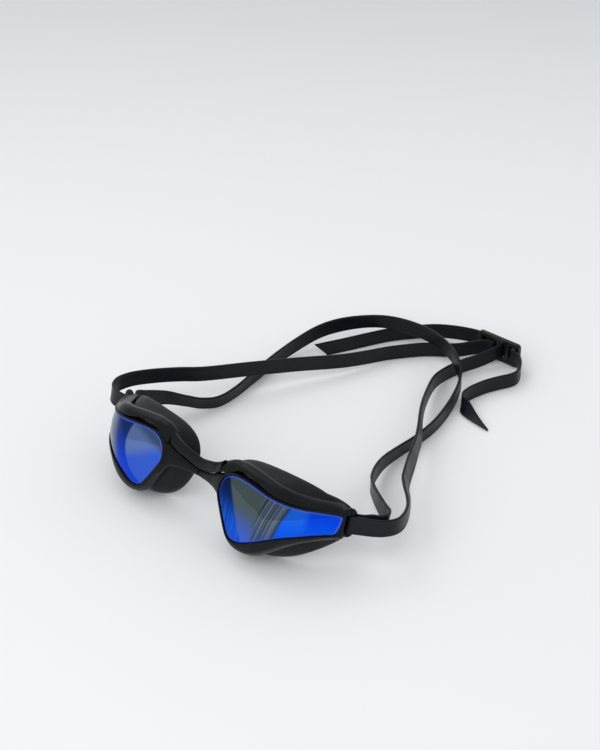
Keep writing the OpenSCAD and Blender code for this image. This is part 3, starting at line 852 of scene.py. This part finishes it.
def add_gasket(side, word):
    limit = wrap(POST_S, FRAME_D)[0] - FOOT_GAP
    foot = [Vector((min(p.x, limit), p.y)) for p in grow(LENS, FOOT_GROW)]
    rings = []
    for share, growth, inward, back in GASKET_STEPS:
        ring = []
        for u, w in drawn_in(grow(mix(foot, SEAL, share), growth), inward):
            front = depth_at(u, FRAME_D)
            ring.append(placed(side * u, front + back * (max(seal_depth(u), front + SEAL_MIN) - front), w))
        rings.append(ring)
    add_part(word + "_gasket_cup", loft(rings, 3, closed=True), silicone_black, word + "_cup",
             word + "_gasket", closed=True, sharp=SOFT_EDGE)


def add_cups():
    # Each lens mirror carries painted reflections, fixed on that lens.
    for (side, word), reflections_painted_mirror in zip(SIDES, (left_painted_reflections(), right_painted_reflections())):
        add_rim(side, word)
        add_rail(side, word)
        add_arm(side, word)
        add_peg(side, word)
        add_loop(side, word)
        add_lens(side, word, reflections_painted_mirror)
        add_gasket(side, word)


add_cups()

# ---- Nose bridge ----

# Half the bridge: upper edge (across, up), lower edge (across, up), front and back depth
BRIDGE_STATIONS = [(0, 6.0, 0, 0.95, 5.0, 7.8), (4, 6.7, 4, 1.6, 4.6, 7.5), (8, 7.9, 8, 3.05, 3.4, 7.0),
                   (11, 9.3, 11, 4.5, 2.1, 6.5), (13, 10.5, 13, 5.6, 1.4, 6.0),
                   (14.6, 11.6, 14.1, 6.4, 1.0, 5.7)]
BRIDGE_SECTION = [(0, 0.25), (0.15, 0), (0.8, 0), (1, 0.18), (0.98, 0.5), (0.72, 1), (0.1, 1), (0, 0.85)]


def add_bridge():
    section = rounded(BRIDGE_SECTION)
    halves = ((-1, BRIDGE_STATIONS[:0:-1]), (1, BRIDGE_STATIONS))
    rings = [station_ring(side, station, section) for side, stations in halves for station in stations]
    add_part("nose_bridge_piece", loft(rings, 6), bridge_black, "bridge", "nose_bridge")


add_bridge()

# ---- Buckle ----

BUCKLE_AT = Vector((0.011, 0.1795, 0.0064))
BUCKLE_L = 0.024
BUCKLE_H = 0.012
BUCKLE_T = 0.0024
BUCKLE_ROUND = 0.0018
BUCKLE_BEVEL = 0.0004
SLOT_PLAY = 0.0008
SLOT_H = STRAP_W * MM + SLOT_PLAY
SLOT_ROUND = 0.0006
# Middle and width of each slot on one side
SLOTS = [(0.00225, 0.0027), (0.0078, 0.0032)]


def corner_round(curve, middle, width, height, radius):
    """A closed rounded rectangle on a filled curve."""
    corners = rounded_section(width / 2, height / 2, radius, steps=6)
    line = curve.splines.new("POLY")
    line.points.add(len(corners) - 1)
    for point, (x, y) in zip(line.points, corners):
        point.co = (x + middle, y, 0, 1)
    line.use_cyclic_u = True


def add_buckle():
    curve = bpy.data.curves.new("buckle_outline", "CURVE")
    curve.dimensions = "2D"
    curve.fill_mode = "BOTH"
    curve.bevel_depth = BUCKLE_BEVEL
    curve.bevel_resolution = 3
    curve.offset = -BUCKLE_BEVEL
    curve.extrude = BUCKLE_T / 2 - BUCKLE_BEVEL
    corner_round(curve, 0, BUCKLE_L, BUCKLE_H, BUCKLE_ROUND)
    for side in (-1, 1):
        for middle, width in SLOTS:
            corner_round(curve, side * middle, width, SLOT_H, SLOT_ROUND)
    shape = bpy.data.objects.new("buckle_shape", curve)
    scene.collection.objects.link(shape)
    bpy.context.view_layer.update()
    flat = bpy.data.meshes.new_from_object(shape.evaluated_get(bpy.context.evaluated_depsgraph_get()))
    points = [BUCKLE_AT + Vector((v.co.x, -v.co.z, v.co.y)) for v in flat.vertices]
    faces = [tuple(f.vertices) for f in flat.polygons]
    bpy.data.objects.remove(shape)
    bpy.data.curves.remove(curve)
    bpy.data.meshes.remove(flat)
    piece = make_piece("ladder_buckle", points, faces, buckle_black, HARD_EDGE)
    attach(piece, "buckle_body")
    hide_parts("buckle")


add_buckle()

# ---- Floor and light ----

# Painted shade: the floor's colour darkens away from the viewer, standing in for light that falls off,
# between these distances along AWAY
AWAY = Vector((-0.73, 0.68, 0))
NEAR_FLOOR = 0.15
FAR_FLOOR = 0.95
FLOOR_HALF = 4.0


def add_floor():
    material, tree, shader, add = new_material("paper_floor")
    place = add("ShaderNodeTexCoord").outputs["Object"]
    along = add("ShaderNodeVectorMath", operation="DOT_PRODUCT")
    along.inputs[1].default_value = AWAY
    tree.links.new(place, along.inputs[0])
    span = add("ShaderNodeMapRange", interpolation_type="SMOOTHSTEP")
    span.inputs["From Min"].default_value = NEAR_FLOOR
    span.inputs["From Max"].default_value = FAR_FLOOR
    tree.links.new(along.outputs["Value"], span.inputs["Value"])
    # Painted shade: the near floor colour fades into the darker far colour.
    shade = add("ShaderNodeMix", data_type="RGBA")
    tree.links.new(span.outputs["Result"], shade.inputs[0])
    near = noise_colour(tree, add, place, 1.2, (0.86, 0.865, 0.875, 1), (0.88, 0.885, 0.895, 1))
    far = noise_colour(tree, add, place, 1.2, (0.62, 0.64, 0.65, 1), (0.63, 0.65, 0.66, 1))
    tree.links.new(near, shade.inputs[6])
    tree.links.new(far, shade.inputs[7])
    tree.links.new(shade.outputs[2], shader.inputs["Base Color"])
    shader.inputs["Roughness"].default_value = 0.75
    shader.inputs["Specular IOR Level"].default_value = 0.2
    corners = [Vector((x * FLOOR_HALF, y * FLOOR_HALF, 0)) for x, y in ((-1, -1), (1, -1), (1, 1), (-1, 1))]
    floor = make_piece("floor", corners, [(0, 1, 2, 3)], material)


def area_light(name, at, target, size, power, colour):
    data = bpy.data.lights.new(name, "AREA")
    data.size = size
    data.energy = power
    data.color = colour
    light = bpy.data.objects.new(name, data)
    light.location = at
    light.rotation_euler = (Vector(target) - Vector(at)).to_track_quat("-Z", "Y").to_euler()
    scene.collection.objects.link(light)
    return light


def add_light():
    world = bpy.data.worlds.new("world")
    scene.world = world
    world.use_nodes = True
    back = next(n for n in world.node_tree.nodes if n.type == "BACKGROUND")
    back.inputs["Color"].default_value = (0.955, 0.975, 1, 1)
    back.inputs["Strength"].default_value = 0.71
    area_light("key", (-1.0, 0.35, 1.5), (0, 0.08, 0), 1.1, 4, (1, 0.99, 0.97))
    front = area_light("front", (0.35, -1.35, 1.25), (0, 0, 0), 1.8, 17, (1, 1, 1))
    front.visible_glossy = False


add_floor()
add_light()
